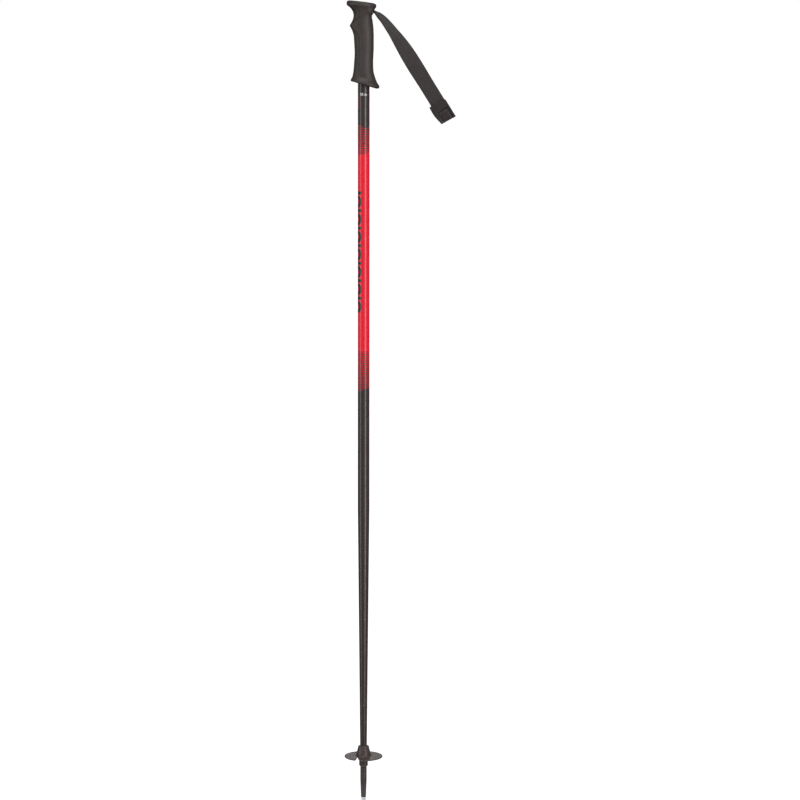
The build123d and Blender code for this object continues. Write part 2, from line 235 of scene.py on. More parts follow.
def settle(obj, sharp=SHARP_ANGLE):
    """Applies the object's modifiers to its mesh."""
    graph = bpy.context.evaluated_depsgraph_get()
    mesh = bpy.data.meshes.new_from_object(obj.evaluated_get(graph))
    obj.modifiers.clear()
    obj.data = mesh
    mesh.shade_smooth()
    mesh.set_sharp_from_angle(angle=radians(sharp))


def combine(obj, others, operation, sharp=SHARP_ANGLE):
    """Cuts the other objects from this one, or adds them to it, and removes them."""
    for other in others:
        change = obj.modifiers.new("change", "BOOLEAN")
        change.operation = operation
        change.solver = "EXACT"
        change.object = other
    settle(obj, sharp)
    for other in others:
        bpy.data.objects.remove(other)


def soften(obj, width, segments, angle):
    """Rounds the object's edges that are sharper than that many degrees."""
    bevel = obj.modifiers.new("soften", "BEVEL")
    bevel.width = width * MM
    bevel.segments = segments
    bevel.limit_method = "ANGLE"
    bevel.angle_limit = radians(angle)
    bevel.use_clamp_overlap = True
    settle(obj)


def block(name, low, high, edge=0.0, place=None):
    """A box between two corners, in millimetres, with rounded edges."""
    xs, ys, zs = zip(low, high)
    points = [(x, y, z) for x in xs for y in ys for z in zs]
    faces = [(0, 1, 3, 2), (4, 6, 7, 5), (0, 4, 5, 1), (2, 3, 7, 6), (0, 2, 6, 4), (1, 5, 7, 3)]
    obj = build(name, points, faces)
    if edge:
        soften(obj, edge, segments=4, angle=30)
    if place is not None:
        obj.data.transform(place)
    return obj


def prism(name, outline, low, high, place=None):
    """An outline of (x, y) points, extruded between two heights, in millimetres."""
    rings = [[(x, y, low) for x, y in outline], [(x, y, high) for x, y in outline]]
    obj = build(name, *skin(rings))
    if place is not None:
        obj.data.transform(place)
    return obj


def oval(rx, ry, points=128):
    """Outline of an ellipse about the origin."""
    return [(rx * cos(2 * pi * k / points), ry * sin(2 * pi * k / points)) for k in range(points)]


def rounded_box(width, height, radius, steps=6):
    """Outline of a rectangle about the origin with round corners."""
    w, h = width / 2, height / 2
    return rounded([(-w, -h, radius), (w, -h, radius), (w, h, radius), (-w, h, radius)], steps)


def rod(name, radius, low, high, place=None):
    """A round bar along its own Z, in millimetres."""
    return prism(name, oval(radius, radius, 48), low, high, place)


def shift(x, y, z):
    """A move by millimetres."""
    return Matrix.Translation(Vector((x, y, z)) * MM)


def smooth_line(values, parts):
    """Rows between the given rows on a smooth curve that doesn't overshoot them (monotone cubic)."""
    rows = np.array(values, float)
    step = np.diff(rows, axis=0)
    slope = np.zeros_like(rows)
    same_way = step[:-1] * step[1:] > 0
    mean = 2 * step[:-1] * step[1:] / np.where(same_way, step[:-1] + step[1:], 1)
    slope[1:-1] = np.where(same_way, mean, 0)
    slope[0], slope[-1] = step[0], step[-1]
    out = []
    for k in range(len(step)):
        for part in range(parts):
            t = part / parts
            curve = (
                (2 * t**3 - 3 * t**2 + 1) * rows[k]
                + (t**3 - 2 * t**2 + t) * slope[k]
                + (3 * t**2 - 2 * t**3) * rows[k + 1]
                + (t**3 - t**2) * slope[k + 1]
            )
            out.append(curve)
    out.append(rows[-1])
    return np.array(out)


# ------------------------------------------------------------ material helpers


def colour(red, green, blue):
    """A linear colour from 0 to 255 display values."""
    shares = [c / 255 for c in (red, green, blue)]
    linear = [c / 12.92 if c <= 0.04045 else ((c + 0.055) / 1.055) ** 2.4 for c in shares]
    return (*linear, 1.0)


class Look:
    """A material's node tree, with short calls for the nodes that this script uses."""

    def __init__(self, name, **values):
        self.material = bpy.data.materials.new(name)
        self.material.use_nodes = True
        self.nodes = self.material.node_tree.nodes
        self.links = self.material.node_tree.links
        self.shader = self.nodes["Principled BSDF"]
        for key, value in values.items():
            self.shader.inputs[key.replace("_", " ").title().replace("Ior", "IOR")].default_value = value

    def add(self, kind, inputs=(), **settings):
        node = self.nodes.new("ShaderNode" + kind)
        for key, value in settings.items():
            setattr(node, key, value)
        for key, value in dict(inputs).items():
            self.feed(node.inputs[key], value)
        return node

    def feed(self, socket, value):
        if isinstance(value, bpy.types.NodeSocket):
            self.links.new(value, socket)
        else:
            socket.default_value = value

    def maths(self, operation, a, b=0.0, c=0.0):
        node = self.add("Math", {0: a, 1: b, 2: c}, operation=operation)
        return node.outputs[0]

    def both(self, a, b):
        """1 where both shares are 1."""
        return self.maths("MULTIPLY", a, b)

    def outside(self, a):
        """1 where a share is 0, and 0 where it is 1."""
        return self.maths("SUBTRACT", 1.0, a)

    def between(self, value, low, high):
        """1 where a value lies between two others."""
        return self.both(self.maths("GREATER_THAN", value, low), self.maths("LESS_THAN", value, high))

    def distance(self, value, middle):
        return self.maths("ABSOLUTE", self.maths("SUBTRACT", value, middle))

    def place(self):
        """Where the point is in the pole's own frame, in millimetres: as a vector, and X, Y and Z."""
        where = self.add("TexCoord").outputs["Object"]
        scaled = self.add("VectorMath", {0: where, "Scale": 1000.0}, operation="SCALE").outputs[0]
        split = self.add("SeparateXYZ", {0: scaled})
        return scaled, split.outputs[0], split.outputs[1], split.outputs[2]

    def noise(self, where, scale, detail=3.0, stretch=(1, 1, 1)):
        mapped = self.add("Mapping", {"Vector": where, "Scale": stretch}).outputs[0]
        node = self.add("TexNoise", {"Vector": mapped, "Scale": scale, "Detail": detail})
        return node.outputs[0]

    def mix(self, factor, a, b):
        node = self.add("Mix", {0: factor, 6: a, 7: b}, data_type="RGBA")
        return node.outputs[2]

    def span(self, value, low, high, to_low=0.0, to_high=1.0):
        """Maps low..high to to_low..to_high, held at both ends."""
        inputs = {0: value, 1: low, 2: high, 3: to_low, 4: to_high}
        return self.add("MapRange", inputs).outputs[0]

    def worn_edges(self, low, high):
        """0 on flat and hollow places, 1 on the sharpest outer edges."""
        return self.span(self.add("NewGeometry").outputs["Pointiness"], low, high)

    def finish(self, base, roughness, height=None, depth=0.05):
        """Connects colour, roughness and a height in millimetres times depth."""
        self.feed(self.shader.inputs["Base Color"], base)
        self.feed(self.shader.inputs["Roughness"], roughness)
        if height is not None:
            bump = self.add("Bump", {"Strength": 1.0, "Distance": depth * MM, "Height": height})
            self.links.new(bump.outputs[0], self.shader.inputs["Normal"])
        return self.material


def give(obj, material):
    """Makes this the object's only material."""
    obj.data.materials.clear()
    obj.data.materials.append(material)


# ------------------------------------------------------------------- materials


def moulded_plastic(name, base, grain=2.2, roughness=0.5, wear=0.35):
    """Dark moulded plastic: a fine eroded texture, slight colour drift, and edges rubbed lighter."""
    look = Look(name, specular_ior_level=0.35)
    where, _, _, _ = look.place()
    drift = look.noise(where, 0.045, 4.0)
    smudge = look.noise(where, 0.16, 5.0)
    fine = look.noise(where, grain, 2.0)
    shade = [c * 0.82 for c in base[:3]] + [1.0]
    body = look.mix(look.span(drift, 0.35, 0.65), shade, base)
    pale = [min(1.0, c * 2.1 + 0.012) for c in base[:3]] + [1.0]
    rubbed = look.maths("MULTIPLY", look.worn_edges(0.515, 0.56), look.span(smudge, 0.4, 0.62))
    tone = look.mix(look.maths("MULTIPLY", rubbed, wear), body, pale)
    gloss = look.span(smudge, 0.3, 0.7, roughness + 0.07, roughness - 0.07)
    polished = look.maths("MULTIPLY_ADD", rubbed, -0.3 * wear, gloss)
    return look.finish(tone, polished, fine, 0.035)


# Borders of the paint: height on the axis, and how much it rises along X
LINES_TOP, FIELD_TOP = (1058.8, -0.25), (1016.5, 0.3)
FIELD_FOOT, LINES_FOOT = (712.8, -0.18), (653.0, 0.23)
FIELD_MIDDLE_Z = 860.0
LINE_PITCH, LINE_STARTS, LINE_COLUMNS, COLUMN_STEP = 3.6, 6.0, 7, 0.3
# The row of links and bars, and the four dashes above it
LINK_ROW_Z, LINK_PITCH, LINK_HALF_ANGLE = (772.0, 961.0), 27.0, 1.18
LINK_MIDDLE, LINK_REACH, LINK_HOLE = 0.36, 0.34, 0.12  # shares of the pitch
BAR_MIDDLE, BAR_REACH = 0.86, 0.09
DASH_ROW_Z, DASH_PITCH, DASH_LENGTH, DASH_WIDTH = (1086.0, 1105.0), 4.9, 0.6, 0.62


def red_parts(look, x, y, z):
    """Where the paint is red: slanting lines, the full field, and lines again."""

    def beyond(level, slope):
        """1 above a plane that crosses the axis at that height and rises by slope along X."""
        edge = look.maths("MULTIPLY_ADD", x, slope, level)
        return look.maths("GREATER_THAN", z, edge)

    def by_half(above, below):
        """One value for the lines above the field, and another for those below it."""
        return look.maths("ADD", look.both(above, is_upper), look.both(below, look.outside(is_upper)))

    lines_top, field_top = beyond(*LINES_TOP), beyond(*FIELD_TOP)
    field_foot, lines_foot = beyond(*FIELD_FOOT), beyond(*LINES_FOOT)
    field = look.both(look.outside(field_top), field_foot)
    upper = look.both(look.outside(lines_top), field_top)
    lower = look.both(look.outside(field_foot), lines_foot)

    # helical lines, in columns that are a little out of step
    turn = look.maths("DIVIDE", look.maths("ARCTAN2", y, x), 2 * pi)
    wave = look.maths("SINE", look.maths("MULTIPLY", turn, LINE_COLUMNS * 2 * pi))
    column = look.maths("GREATER_THAN", wave, 0.0)
    phase = look.maths("MULTIPLY_ADD", turn, LINE_STARTS, look.maths("MULTIPLY", column, COLUMN_STEP))
    saw = look.maths("FRACT", look.maths("MULTIPLY_ADD", z, 1 / LINE_PITCH, phase))
    # the lines grow wider and stronger towards the field
    is_upper = look.maths("GREATER_THAN", z, FIELD_MIDDLE_Z)
    share = by_half(look.span(z, 1057.0, 1016.0, 0.3, 0.5), look.span(z, 713.0, 654.0, 0.6, 0.35))
    strength = by_half(look.span(z, 1058.0, 1016.0, 0.7, 1.0), look.span(z, 713.0, 652.0, 1.0, 0.7))
    drawn = look.both(look.maths("LESS_THAN", saw, share), strength)
    line = look.both(drawn, look.maths("ADD", upper, lower))
    return look.maths("MAXIMUM", line, field)


def side_marks(look, x, y, z):
    """A plain row of links and bars down the finger side, and four small dashes above it."""
    side = look.maths("ABSOLUTE", look.maths("ARCTAN2", y, look.maths("MULTIPLY", x, -1.0)))
    across = look.maths("DIVIDE", side, LINK_HALF_ANGLE)
    along = look.maths("FRACT", look.maths("DIVIDE", look.maths("SUBTRACT", z, LINK_ROW_Z[0]), LINK_PITCH))
    from_middle = look.maths("DIVIDE", look.distance(along, LINK_MIDDLE), LINK_REACH)
    reach = look.maths("ADD", look.maths("POWER", from_middle, 3.0), look.maths("POWER", across, 3.0))
    link = look.between(reach, LINK_HOLE, 1.0)
    bar = look.maths("LESS_THAN", look.distance(along, BAR_MIDDLE), BAR_REACH)
    in_band = look.maths("LESS_THAN", across, 1.0)
    in_row = look.between(z, *LINK_ROW_Z)
    mark = look.both(look.both(look.maths("MAXIMUM", link, bar), in_band), in_row)

    step = look.maths("FRACT", look.maths("DIVIDE", look.maths("SUBTRACT", z, DASH_ROW_Z[0]), DASH_PITCH))
    dash = look.both(look.maths("LESS_THAN", step, DASH_LENGTH), look.between(z, *DASH_ROW_Z))
    return mark, look.both(dash, look.maths("LESS_THAN", across, DASH_WIDTH))


def shaft_paint():
    """Satin black paint with a red field and dark marks, scratched low down."""
    look = Look("shaft_paint", specular_ior_level=0.45)
    where, x, y, z = look.place()
    mark, dash = side_marks(look, x, y, z)
    drift = look.noise(where, 0.02, 3.0)
    tone = look.mix(look.span(drift, 0.3, 0.7, 0.0, 0.3), colour(44, 36, 35), colour(52, 44, 43))
    tone = look.mix(red_parts(look, x, y, z), tone, colour(176, 9, 32))
    tone = look.mix(mark, tone, colour(24, 30, 27))
    tone = look.mix(look.maths("MULTIPLY", dash, 0.55), tone, colour(120, 30, 38))
    # fine scratches low on the shaft, where boots and edges touch it
    scratch = look.noise(where, 0.6, 6.0, stretch=(1, 1, 0.09))
    rubbed = look.both(look.span(scratch, 0.66, 0.74), look.span(z, 520.0, 120.0))
    tone = look.mix(look.maths("MULTIPLY", rubbed, 0.35), tone, colour(120, 114, 112))
    haze = look.noise(where, 0.25, 4.0)
    gloss = look.maths("MULTIPLY_ADD", rubbed, 0.15, look.span(haze, 0.3, 0.7, 0.26, 0.34))
    peel = look.noise(where, 0.9, 2.0)
    return look.finish(tone, gloss, peel, 0.012)


BAND_WIDTH, BAND_PITCH, BAND_SLOPE = 3.7, 1.25, 1.05  # the herringbone of the webbing
YARN_PITCH, PICK_PITCH, SELVEDGE_WIDTH = 0.62, 0.8, 1.5


def webbing_material():
    """Woven polyester: a herringbone of thick yarns, plain selvedges and a little fuzz, with painted shade
    in the weave's grooves and painted highlights on its ridges.
    """
    look = Look("webbing", sheen_weight=0.04, sheen_roughness=0.6, specular_ior_level=0.2)
    uv = look.add("UVMap", uv_map="weave").outputs[0]
    split = look.add("SeparateXYZ", {0: uv})
    across, along = split.outputs[0], split.outputs[1]
    fold = look.maths("PINGPONG", across, BAND_WIDTH)
    twill = look.maths("ADD", look.maths("MULTIPLY", fold, BAND_SLOPE), along)
    ridge = look.maths("SINE", look.maths("MULTIPLY", twill, 2 * pi / BAND_PITCH))
    yarn = look.maths("SINE", look.maths("MULTIPLY", across, 2 * pi / YARN_PITCH))
    pick = look.maths("SINE", look.maths("MULTIPLY", along, 2 * pi / PICK_PITCH))
    rib = look.maths("MULTIPLY_ADD", yarn, 0.3, ridge)
    from_edge = look.maths("SUBTRACT", WEBBING_WIDTH / 2, look.maths("ABSOLUTE", across))
    selvedge = look.maths("LESS_THAN", from_edge, SELVEDGE_WIDTH)
    inner = look.both(rib, look.outside(selvedge))
    height = look.maths("MULTIPLY_ADD", look.maths("MULTIPLY", pick, selvedge), 0.9, inner)
    fuzz = look.noise(uv, 1.6, 5.0)
    # Painted shade and highlight: the colour follows the weave's height, darker in the grooves between the
    # yarns and lighter on their ridges.
    groove_shade, ridge_highlight = colour(20, 18, 17), colour(50, 45, 44)
    tone = look.mix(look.span(height, -1.1, 1.2), groove_shade, ridge_highlight)
    tone = look.mix(look.span(fuzz, 0.35, 0.75, 0.0, 0.55), tone, colour(42, 39, 38))
    bright = look.span(look.noise(uv, 0.06, 3.0), 0.3, 0.7, 0.0, 0.35)
    tone = look.mix(bright, tone, colour(50, 46, 45))
    rough = look.span(fuzz, 0.3, 0.7, 0.72, 0.9)
    return look.finish(tone, rough, look.maths("MULTIPLY_ADD", fuzz, 0.5, height), 0.11)


def turned_steel(name, base, rough=0.3):
    """Steel with turning marks round it, a few nicks, and a dull grey film."""
    look = Look(name, metallic=1.0, anisotropic=0.4)
    where, _, _, _ = look.place()
    rings = look.noise(where, 0.05, 6.0, stretch=(1, 1, 140))
    nicks = look.noise(where, 0.9, 5.0)
    film = look.noise(where, 0.22, 4.0)
    dull = [c * 0.55 for c in base[:3]] + [1.0]
    tone = look.mix(look.span(film, 0.4, 0.68, 0.0, 0.7), base, dull)
    gloss = look.maths("MULTIPLY_ADD", look.span(film, 0.35, 0.7), 0.22, rough)
    height = look.maths("MULTIPLY_ADD", look.span(nicks, 0.62, 0.72), -1.2, rings)
    return look.finish(tone, gloss, height, 0.03)


def printed_ink(name, base):
    """Thin screen-printed ink, slightly broken where it has worn."""
    look = Look(name)
    where, _, _, _ = look.place()
    wear = look.noise(where, 1.1, 5.0)
    faded = [c * 0.7 for c in base[:3]] + [1.0]
    tone = look.mix(look.span(wear, 0.5, 0.66), base, faded)
    return look.finish(tone, look.span(wear, 0.3, 0.7, 0.4, 0.55), wear, 0.01)


# ----------------------------------------------------------------------- shaft


def make_shaft(paint):
    """The drawn tube: parallel above, tapering below, open at both ends."""
    inner = SHAFT_R - SHAFT_WALL
    outline = rounded(
        [
            (SHAFT_END_R - SHAFT_WALL, SHAFT_END_Z, 0),
            (SHAFT_END_R, SHAFT_END_Z, 0.15),
            (SHAFT_R, SHAFT_TAPER_TOP_Z, 40.0),
            (SHAFT_R, SHAFT_TOP_Z, 0.3),
            (inner, SHAFT_TOP_Z, 0.3),
            (inner, SHAFT_TAPER_TOP_Z, 0),
        ],
        steps=8,
    )
    shaft = lathe("shaft", outline, 160)
    give(shaft, paint)
    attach(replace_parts(shaft, "shaft_tube"), "pole")


MARK_WIDTH, MARK_HEIGHT, MARK_Z = 10.8, 3.7, 1107.8
INK_LIFT = 0.03


def make_size_mark(ink):
    """The pole's length in centimetres, printed below the grip, facing the side of the pole."""
    text = bpy.data.curves.new("size_mark", "FONT")
    text.body = "125 cm"
    text.resolution_u = 3
    flat = bpy.data.objects.new("size_mark_flat", text)
    bpy.context.scene.collection.objects.link(flat)
    graph = bpy.context.evaluated_depsgraph_get()
    mesh = bpy.data.meshes.new_from_object(flat.evaluated_get(graph))
    bpy.data.objects.remove(flat)
    wide = [v.co.x for v in mesh.vertices]
    tall = [v.co.y for v in mesh.vertices]
    radius = SHAFT_R + INK_LIFT
    for corner in mesh.vertices:
        across = (corner.co.x - min(wide)) / (max(wide) - min(wide)) - 0.5
        up = (corner.co.y - min(tall)) / (max(tall) - min(tall)) - 0.5
        angle = across * MARK_WIDTH / radius
        height = MARK_Z + up * MARK_HEIGHT
        corner.co = Vector((radius * sin(angle), -radius * cos(angle), height)) * MM
    mark = add_object("size_mark", mesh)
    give(mark, ink)
    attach(mark, "pole")


# ------------------------------------------------------------------------ grip

# Sections from the foot to the head: front point X and Z, back point X and Z, half width, and how
# square the back half is (2 is an ellipse)
GRIP_SECTIONS = [
    (-17.6, 1127.3, 19.6, 1116.4, 16.6, 2.3),
    (-19.1, 1127.7, 22.4, 1116.8, 18.6, 2.3),
    (-20.0, 1129.0, 23.9, 1118.4, 19.8, 2.3),
    (-19.9, 1130.5, 24.1, 1120.2, 19.6, 2.3),
    (-18.9, 1132.3, 22.8, 1122.5, 17.7, 2.3),
    (-17.6, 1134.6, 20.8, 1125.6, 15.3, 2.3),
    (-16.7, 1138.0, 18.9, 1130.0, 14.1, 2.3),
    (-16.0, 1142.2, 16.9, 1135.8, 14.0, 2.3),
    (-15.4, 1147.2, 14.9, 1144.4, 13.6, 2.25),
    (-14.7, 1156.4, 14.4, 1156.4, 13.3, 2.2),
    (-13.9, 1170.0, 15.0, 1170.0, 13.1, 2.2),
    (-14.3, 1181.0, 15.4, 1181.0, 13.2, 2.2),
    (-15.3, 1196.0, 15.4, 1196.5, 13.5, 2.2),
    (-16.4, 1201.0, 15.2, 1202.0, 13.6, 2.2),
    (-18.4, 1206.2, 15.0, 1207.0, 13.7, 2.2),
    (-20.6, 1210.2, 14.7, 1210.8, 13.8, 2.2),
    (-21.4, 1212.0, 14.5, 1212.6, 13.8, 2.2),
    (-20.6, 1213.8, 14.2, 1214.8, 13.8, 2.2),
    (-18.0, 1218.6, 13.6, 1219.6, 13.6, 2.3),
    (-16.1, 1223.6, 12.6, 1223.8, 13.5, 2.5),
    (-15.6, 1227.6, 12.6, 1226.8, 13.8, 2.8),
    (-16.1, 1231.4, 13.9, 1229.4, 14.4, 3.3),
    (-17.6, 1235.2, 15.6, 1232.0, 15.2, 3.7),
    (-19.9, 1238.3, 16.4, 1235.0, 16.1, 3.5),
    (-22.6, 1240.9, 17.2, 1237.8, 17.2, 2.9),
    (-24.9, 1242.4, 18.6, 1239.4, 18.3, 2.5),
    (-26.0, 1243.8, 19.1, 1240.6, 18.9, 2.4),
    (-26.2, 1245.8, 19.2, 1242.2, 18.9, 2.3),
    (-26.0, 1248.0, 19.0, 1243.6, 18.7, 2.3),
    (-25.3, 1249.3, 18.3, 1244.6, 18.2, 2.3),
    (-24.0, 1249.9, 17.1, 1245.0, 17.2, 2.3),
]
FRONT_ROUNDNESS = 1.86  # below 2 the finger side is narrower than an ellipse
CREASE_X = -6.4  # where the finger side meets the flat of the grip
CREASE_WIDTH = 1.3
CREASE_DEPTH = 1.7
BEAD_WIDTH, BEAD_HEIGHT = 1.0, 0.5  # the raised edge along the crease
RIDGE_Z = 1211.8
RIDGE_REACH = 13.0  # how far the crease swings forward round the ridge
RIDGE_SPAN = 8.5
CREASE_FOOT_Z, CREASE_FOOT_FADE = 1134.0, 12.0
CREASE_TOP_Z, CREASE_TOP_FADE = 1243.0, 5.0
NEAR_AXIS = 6.0  # the crease fades out this near the middle plane
TOP_EDGE = [(0.97, 0.35), (0.93, 0.6), (0.9, 0.72)]  # shares of the last section, and their rise
FOOT_HOLLOW, FOOT_HOLLOW_RISE = 0.8, 0.35
SEAT_LENGTH, SEAT_WIDTH = 0.86, 0.84  # the cap's seat, in shares of the head
SEAT_DEPTH = 1.4
SECTION_POINTS = 288
SECTION_PARTS = 9


def grip_section(front_x, front_z, back_x, back_z, half_width, back_square):
    """One section: an oval in the sloping plane through its front and back points."""
    mid_x, reach = (front_x + back_x) / 2, (back_x - front_x) / 2
    ring = []
    for k in range(SECTION_POINTS):
        angle = 2 * pi * k / SECTION_POINTS
        c, s = cos(angle), sin(angle)
        power = 2 / (back_square if c > 0 else FRONT_ROUNDNESS)
        along = abs(c) ** power * (1 if c > 0 else -1)
        x = mid_x + reach * along
        y = half_width * abs(s) ** power * (1 if s > 0 else -1)
        z = front_z + (back_z - front_z) * (along + 1) / 2
        ring.append(Vector((x, y, z)))
    return ring


def finger_hollow(point):
    """How deep the finger side is set in from the flat of the grip at a point."""
    crease = CREASE_X - RIDGE_REACH * exp(-(((point.z - RIDGE_Z) / RIDGE_SPAN) ** 2))
    inside = min(max((crease - point.x) / CREASE_WIDTH, 0), 1)
    inside = inside * inside * (3 - 2 * inside)
    bead = BEAD_HEIGHT * exp(-(((point.x - crease - BEAD_WIDTH) / BEAD_WIDTH) ** 2))
    fade = np.clip((point.z - CREASE_FOOT_Z) / CREASE_FOOT_FADE, 0, 1)
    fade *= np.clip((CREASE_TOP_Z - point.z) / CREASE_TOP_FADE, 0, 1)
    return (CREASE_DEPTH * inside - bead) * fade


def grip_rings(foot, top):
    """The grip's skin as rings, from a hollow in the foot up to a rounded edge round the head."""
    under, middle = centre_of(foot), centre_of(top)
    rings = [[tuple(under + (p - under) * FOOT_HOLLOW + Vector((0, 0, FOOT_HOLLOW_RISE))) for p in foot]]
    for row in smooth_line(GRIP_SECTIONS, SECTION_PARTS):
        ring = grip_section(*row)
        for point in ring:
            point.y -= finger_hollow(point) * np.sign(point.y) * min(abs(point.y) / NEAR_AXIS, 1)
        rings.append([tuple(p) for p in ring])
    for share, rise in TOP_EDGE:
        rings.append([tuple(middle + (p - middle) * share + Vector((0, 0, rise))) for p in top])
    return rings


def centre_of(points):
    return sum(points, Vector()) / len(points)


def make_grip(plastic):
    """The moulded grip: flared foot, pointed finger ridge, and a sloping head with a seat for the cap.

    Returns the seat's place in the head, and its two half lengths.
    """
    foot, top = grip_section(*GRIP_SECTIONS[0]), grip_section(*GRIP_SECTIONS[-1])
    grip = build("grip", *skin(grip_rings(foot, top)), sharp=50)
    back, front = top[0], top[SECTION_POINTS // 2]
    tilt = atan((front.z - back.z) / (back.x - front.x))
    seat_place = Matrix.Translation(centre_of(top) * MM) @ Matrix.Rotation(tilt, 4, "Y")
    seat_rx = (back - front).length / 2 * SEAT_LENGTH
    seat_ry = GRIP_SECTIONS[-1][4] * SEAT_WIDTH
    seat = prism("seat", oval(seat_rx, seat_ry), -SEAT_DEPTH, 9.0, seat_place)
    socket = rod("socket", SHAFT_R + SOCKET_GAP, 1090, SOCKET_TOP_Z)
    mouth_place = shift(HINGE_X, 0, HINGE_Z) @ Matrix.Rotation(pi / 2, 4, "Y")
    mouth_outline = rounded_box(MOUTH_HEIGHT, MOUTH_WIDTH, MOUTH_CORNER)
    mouth = prism("mouth", mouth_outline, -11.0, 20.0, mouth_place)
    pocket_low = (POCKET_X[0], -POCKET_HALF_WIDTH, POCKET_FLOOR_Z)
    pocket = block("pocket", pocket_low, (POCKET_X[1], POCKET_HALF_WIDTH, 1260))
    combine(grip, [seat, socket, mouth, pocket], "DIFFERENCE", sharp=50)
    give(grip, plastic)
    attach(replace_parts(grip, "grip_body"), "pole")
    return seat_place, seat_rx, seat_ry


CAP_GAP = 0.18
# Section of the cap from its edge to its middle: share of the half lengths, and height
CAP_PROFILE = [
    (1.0, -1.35),
    (1.0, 0.15),
    (0.985, 0.45),
    (0.955, 0.66),
    (0.9, 0.8),
    (0.82, 0.9),
    (0.7, 1.0),
    (0.66, 0.98),
    (0.635, 0.84),
    (0.6, 0.78),
    (0.4, 0.86),
    (0.2, 0.9),
    (0.05, 0.91),
]


def make_cap(plastic, place, rx, ry):
    """The cap let into the head: a shallow dome with a rounded rim and a dished middle."""
    edge = oval(rx - CAP_GAP, ry - CAP_GAP)
    rings = [[(x * share, y * share, height) for x, y in edge] for share, height in CAP_PROFILE]
    cap = build("grip_cap", *skin(rings), sharp=50)
    cap.data.transform(place)
    give(cap, plastic)
    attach(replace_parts(cap, "grip_top_cap"), "pole")


# ----------------------------------------------------------------------- strap


def strap_point(along):
    """Centre of the strap at a length from the slot, and its angle below horizontal in radians."""
    x, z, dip = HINGE_X, HINGE_Z, radians(STRAP_START_DIP)
    left = along
    for bend_r, end_dip in STRAP_BENDS:
        turned = min(left / bend_r, radians(end_dip) - dip)
        x += bend_r * (sin(dip + turned) - sin(dip))
        z += bend_r * (cos(dip + turned) - cos(dip))
        dip += turned
        left -= bend_r * turned
    return Vector((x + left * cos(dip), 0, z - left * sin(dip))), dip


def strap_frame(along):
    """Centre of the strap at a length from the slot, its direction across, and its front's normal."""
    centre, dip = strap_point(along)
    turn = radians(90) * min(along / STRAP_TWIST_LENGTH, 1) ** TWIST_EASE
    early = exp(-along / EARLY_TWIST_FADE) * (1 - exp(-along / EARLY_TWIST_RISE))
    turn += radians(EARLY_TWIST) * early
    run = Vector((cos(dip), 0, -sin(dip)))
    over = Vector((sin(dip), 0, cos(dip)))
    across = Vector((0, 1, 0)) * cos(turn) + over * sin(turn)
    return centre, across, run.cross(across)


def strap_path():
    """The strip's own line as (centre, across, outward).

    It begins at the slider on the front layer, runs up into the slot, round the pin, and back down.
    """
    offset = (WEBBING_T + LAYER_GAP) / 2
    outer, inner = [], []
    for k in range(STRAP_STEPS + 1):
        along = STRAP_LENGTH * k / STRAP_STEPS
        centre, across, front = strap_frame(along)
        slack = sin(pi * min(along / SLIP_LENGTH, 1)) ** 2
        outer.append((centre + front * offset - across * slack * LAYER_SLIP[0], across, front))
        inner.append((centre - front * offset + across * slack * LAYER_SLIP[1], across, -front))
    loop = pin_loop()
    root = outer[::-1][:-1] + loop + inner[1:]
    return ease_in_head(root, len(outer) - 1, len(loop))


def pin_loop():
    """The stretch of the strip that goes round the pin."""
    sideways = Vector((0, 1, 0))
    loop_r = ANCHOR_R + WEBBING_T / 2 + LOOP_GAP
    loop = []
    for k in range(LOOP_STEPS + 1):
        angle = radians(LOOP_START) + radians(LOOP_TURN) * k / LOOP_STEPS
        outward = Vector((cos(angle), 0, sin(angle)))
        loop.append((Vector((ANCHOR_X, 0, ANCHOR_Z)) + outward * loop_r, sideways, outward))
    return loop


def ease_in_head(path, first, count):
    """Adds the short stretches between the slot's mouth and the loop round the pin."""
    after = first + count
    lead_in = bridge(path[first - 1], path[first])
    lead_out = bridge(path[after - 1], path[after])
    return path[:first] + lead_in + path[first:after] + lead_out + path[after:]


def bridge(a, b, steps=8):
    """Frames between two frames on a smooth curve that keeps both their directions."""
    gap = (b[0] - a[0]).length
    leave = a[1].cross(a[2]).normalized()
    arrive = b[1].cross(b[2]).normalized()
    if leave.dot(b[0] - a[0]) < 0:
        leave = -leave
    if arrive.dot(b[0] - a[0]) < 0:
        arrive = -arrive
    frames = []
    for k in range(1, steps):
        t = k / steps
        centre = (
            a[0] * (2 * t**3 - 3 * t**2 + 1)
            + leave * gap * (t**3 - 2 * t**2 + t)
            + b[0] * (3 * t**2 - 2 * t**3)
            + arrive * gap * (t**3 - t**2)
        )
        frames.append((centre, a[1].lerp(b[1], t).normalized(), a[2].lerp(b[2], t).normalized()))
    return frames


def webbing_section():
    """Section of the webbing as (across, out): flat yarns between two slightly thicker selvedges."""
    half, t = WEBBING_WIDTH / 2, WEBBING_T / 2
    edge = [(half - 1.7, t * 0.8), (half - 1.3, t), (half - 0.5, t), (half - 0.12, t * 0.7), (half, 0)]
    face = [(half * 0.84 * k / 6, t * 0.86) for k in range(-6, 7)]
    top = face + edge
    right_down = [(u, -v) for u, v in reversed(edge[:-1])]
    bottom = [(u, -v) for u, v in reversed(face)]
    left_down = [(-u, -v) for u, v in edge]
    left_up = [(-u, v) for u, v in reversed(edge[:-1])]
    return top + right_down + bottom + left_down + left_up


